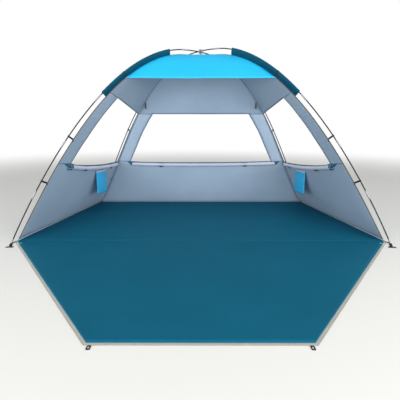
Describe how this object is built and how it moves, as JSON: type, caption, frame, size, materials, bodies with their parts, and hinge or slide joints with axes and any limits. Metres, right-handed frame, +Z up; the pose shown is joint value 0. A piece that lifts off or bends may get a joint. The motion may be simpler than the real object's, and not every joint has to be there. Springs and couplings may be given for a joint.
{
  "type": "beach tent",
  "caption": "Beach tent with crossed bent poles, a three-window cabin, a blue visor, rolled window flaps and a zip-up door panel laid out in front as a porch.",
  "frame": {"origin": "centre of the cabin floor's underside, on the ground, midway between the front feet line and the back edge", "axes": "+X to the right as seen from the entrance, +Y from the entrance to the back wall, +Z up"},
  "size_m": [2.966, 2.809, 1.5527],
  "materials": {
    "floor_teal": "coated woven sheet, dark teal",
    "cabin_grey": "silver-grey coated polyester",
    "visor_blue": "bright blue polyester",
    "sleeve_teal": "dark teal polyester",
    "pocket_blue": "blue polyester",
    "flap_silver": "silver-lilac coated polyester",
    "tape_silver": "silver-grey zip tape with a tan edge",
    "pole_black": "black fibreglass rod with plain steel ferrules",
    "clip_black": "moulded black plastic",
    "webbing_black": "black webbing",
    "zip_aqua": "pale aqua painted metal"
  },
  "bodies": {
    "cabin": {"floor_sheet": "floor_teal", "back_panel": "cabin_grey", "left_side_panel": "cabin_grey", "right_side_panel": "cabin_grey", "visor": "visor_blue", "left_front_sleeve": "sleeve_teal", "left_back_sleeve": "sleeve_teal", "right_front_sleeve": "sleeve_teal", "right_back_sleeve": "sleeve_teal", "back_rolled_flap": "flap_silver", "left_rolled_flap": "flap_silver", "right_rolled_flap": "flap_silver", "left_pole_section_1": "pole_black", "left_pole_section_2": "pole_black", "left_pole_section_3": "pole_black", "left_pole_section_8": "pole_black", "left_pole_section_9": "pole_black", "left_pole_section_10": "pole_black", "right_pole_section_1": "pole_black", "right_pole_section_2": "pole_black", "right_pole_section_3": "pole_black", "right_pole_section_8": "pole_black", "right_pole_section_9": "pole_black", "right_pole_section_10": "pole_black", "left_pole_middle_sections": "pole_black", "right_pole_middle_sections": "pole_black", "left_front_clip_1": "clip_black", "left_front_clip_2": "clip_black", "left_back_clip_1": "clip_black", "left_back_clip_2": "clip_black", "right_front_clip_1": "clip_black", "right_front_clip_2": "clip_black", "right_back_clip_1": "clip_black", "right_back_clip_2": "clip_black", "left_front_foot_strap": "webbing_black", "left_back_foot_strap": "webbing_black", "right_front_foot_strap": "webbing_black", "right_back_foot_strap": "webbing_black", "left_sleeve_strap": "webbing_black", "right_sleeve_strap": "webbing_black", "apex_tie": "webbing_black"},
    "porch": {"porch_door_panel": "floor_teal", "porch_zip_tape": "tape_silver"},
    "left_slider": {"left_zip_slider": "zip_aqua"},
    "right_slider": {"right_zip_slider": "zip_aqua"},
    "left_peg_loop": {"left_porch_peg_loop": "webbing_black"},
    "right_peg_loop": {"right_porch_peg_loop": "webbing_black"},
    "left_toggle_1_barrel": {"left_toggle_1": "clip_black"},
    "left_toggle_2_barrel": {"left_toggle_2": "clip_black"},
    "left_toggle_3_barrel": {"left_toggle_3": "clip_black"},
    "right_toggle_1_barrel": {"right_toggle_1": "clip_black"},
    "right_toggle_2_barrel": {"right_toggle_2": "clip_black"},
    "right_toggle_3_barrel": {"right_toggle_3": "clip_black"},
    "back_toggle_1_barrel": {"back_toggle_1": "clip_black"},
    "back_toggle_2_barrel": {"back_toggle_2": "clip_black"},
    "left_loop": {"left_hanging_loop": "webbing_black"},
    "right_loop": {"right_hanging_loop": "webbing_black"},
    "left_pocket": {"left_hanging_pocket": "pocket_blue"},
    "right_pocket": {"right_hanging_pocket": "pocket_blue"}
  },
  "joints": [
    {"name": "porch_fold", "type": "hinge", "parent": "cabin", "child": "porch", "pos_m": [0, -0.675, 0.002], "axis": [-1, 0, 0], "range_deg": [0, 98]},
    {"name": "left_slider_travel", "type": "slide", "parent": "porch", "child": "left_slider", "axis": [0.6002, -0.7998, 0], "range_m": [0, 1.5]},
    {"name": "right_slider_travel", "type": "slide", "parent": "porch", "child": "right_slider", "axis": [-0.6002, -0.7998, 0], "range_m": [0, 1.5]},
    {"name": "left_peg_loop_flap", "type": "hinge", "parent": "porch", "child": "left_peg_loop", "pos_m": [-0.473, -1.9783, 0.002], "axis": [-1, 0, 0], "range_deg": [0, 150]},
    {"name": "right_peg_loop_flap", "type": "hinge", "parent": "porch", "child": "right_peg_loop", "pos_m": [0.473, -1.9783, 0.002], "axis": [-1, 0, 0], "range_deg": [0, 150]},
    {"name": "left_toggle_1_swivel", "type": "hinge", "parent": "cabin", "child": "left_toggle_1_barrel", "pos_m": [-1.09752, -0.37596, 0.52784], "axis": [0.0371, 0.194, 0.9803], "range_deg": [-90, 90]},
    {"name": "left_toggle_2_swivel", "type": "hinge", "parent": "cabin", "child": "left_toggle_2_barrel", "pos_m": [-1.04989, -0.13176, 0.48509], "axis": [0.027, 0.138, 0.9901], "range_deg": [-90, 90]},
    {"name": "left_toggle_3_swivel", "type": "hinge", "parent": "cabin", "child": "left_toggle_3_barrel", "pos_m": [-0.94495, 0.35469, 0.44346], "axis": [0.0054, 0.0233, 0.9997], "range_deg": [-90, 90]},
    {"name": "right_toggle_1_swivel", "type": "hinge", "parent": "cabin", "child": "right_toggle_1_barrel", "pos_m": [1.09752, -0.37596, 0.52784], "axis": [-0.0371, 0.194, 0.9803], "range_deg": [-90, 90]},
    {"name": "right_toggle_2_swivel", "type": "hinge", "parent": "cabin", "child": "right_toggle_2_barrel", "pos_m": [1.05182, -0.14157, 0.48655], "axis": [-0.0285, 0.1425, 0.9894], "range_deg": [-90, 90]},
    {"name": "right_toggle_3_swivel", "type": "hinge", "parent": "cabin", "child": "right_toggle_3_barrel", "pos_m": [0.94047, 0.3741, 0.44302], "axis": [-0.0045, 0.0192, 0.9998], "range_deg": [-90, 90]},
    {"name": "back_toggle_1_swivel", "type": "hinge", "parent": "cabin", "child": "back_toggle_1_barrel", "pos_m": [-0.43644, 0.5205, 0.4355], "axis": [0.0141, -0.0001, 0.9999], "range_deg": [-90, 90]},
    {"name": "back_toggle_2_swivel", "type": "hinge", "parent": "cabin", "child": "back_toggle_2_barrel", "pos_m": [0.4851, 0.51981, 0.43983], "axis": [-0.0233, 0, 0.9997], "range_deg": [-90, 90]},
    {"name": "left_loop_swing", "type": "hinge", "parent": "cabin", "child": "left_loop", "pos_m": [-0.56002, 0.3613, 1.10513], "axis": [1, 0, 0], "range_deg": [-75, 15]},
    {"name": "right_loop_swing", "type": "hinge", "parent": "cabin", "child": "right_loop", "pos_m": [0.56002, 0.3613, 1.10513], "axis": [1, 0, 0], "range_deg": [-75, 15]},
    {"name": "left_pocket_swing", "type": "hinge", "parent": "cabin", "child": "left_pocket", "pos_m": [-1.01272, 0.20952, 0.445], "axis": [-0.2463, -0.9692, 0], "range_deg": [-12, 60]},
    {"name": "right_pocket_swing", "type": "hinge", "parent": "cabin", "child": "right_pocket", "pos_m": [1.01272, 0.20952, 0.445], "axis": [-0.2463, 0.9692, 0], "range_deg": [-12, 60]}
  ]
}
